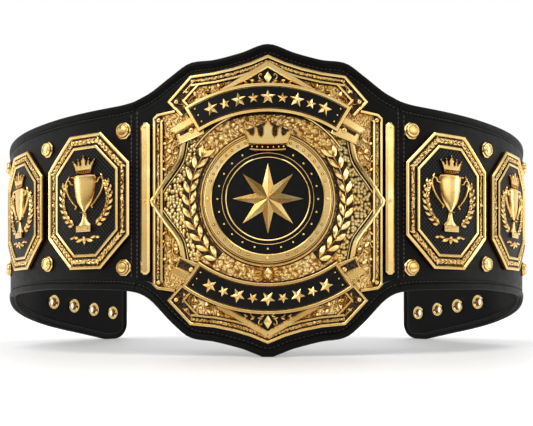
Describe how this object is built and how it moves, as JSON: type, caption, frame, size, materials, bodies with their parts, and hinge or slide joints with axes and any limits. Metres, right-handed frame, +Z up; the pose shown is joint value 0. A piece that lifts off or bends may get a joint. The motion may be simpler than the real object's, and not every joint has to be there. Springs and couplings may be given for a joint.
{
  "type": "championship belt",
  "caption": "Curved black leather title belt with a large ornamented gold main plate, octagonal trophy side plates, studs and eyelets.",
  "frame": {"origin": "centre of the bounding box at floor level, below the middle of the open ring", "axes": "+X to the right of someone who faces the main plate, -Y out of the main plate's front, +Z up, millimetres in the source"},
  "size_m": [0.6528, 0.4224, 0.3035],
  "materials": {
    "leather": "soft satin black grain with a rolled edge",
    "lining": "smooth satin black lining",
    "gold": "gold plated casting, polished on the high parts and dark in the grooves",
    "enamel": "black enamel fill, satin"
  },
  "bodies": {
    "root": {"centre_panel": "leather", "centre_lining": "lining", "right_strap": "leather", "left_strap": "leather", "right_strap_lining": "lining", "left_strap_lining": "lining", "right_eyelet_1": "gold", "left_eyelet_1": "gold", "right_eyelet_2": "gold", "left_eyelet_2": "gold", "right_eyelet_3": "gold", "left_eyelet_3": "gold", "right_eyelet_4": "gold", "left_eyelet_4": "gold", "main_plate": "gold", "centre_disc": "enamel", "centre_bezel": "gold", "centre_star": "gold", "crown": "gold", "right_laurel": "gold", "left_laurel": "gold", "upper_banner": "gold", "upper_banner_enamel": "enamel", "upper_gable_enamel": "enamel", "lower_banner": "gold", "lower_banner_enamel": "enamel", "lower_gable_enamel": "enamel", "right_bar": "gold", "left_bar": "gold", "right_inner_side_plate": "gold", "left_inner_side_plate": "gold", "right_inner_side_enamel": "enamel", "left_inner_side_enamel": "enamel", "right_inner_trophy": "gold", "left_inner_trophy": "gold", "right_outer_side_plate": "gold", "left_outer_side_plate": "gold", "right_outer_side_enamel": "enamel", "left_outer_side_enamel": "enamel", "right_outer_trophy": "gold", "left_outer_trophy": "gold", "right_inner_upper_stud": "gold", "left_inner_upper_stud": "gold", "right_inner_lower_stud": "gold", "left_inner_lower_stud": "gold", "right_middle_upper_stud": "gold", "left_middle_upper_stud": "gold", "right_middle_lower_stud": "gold", "left_middle_lower_stud": "gold", "right_outer_upper_stud": "gold", "left_outer_upper_stud": "gold", "right_outer_lower_stud": "gold", "left_outer_lower_stud": "gold"}
  },
  "joints": []
}
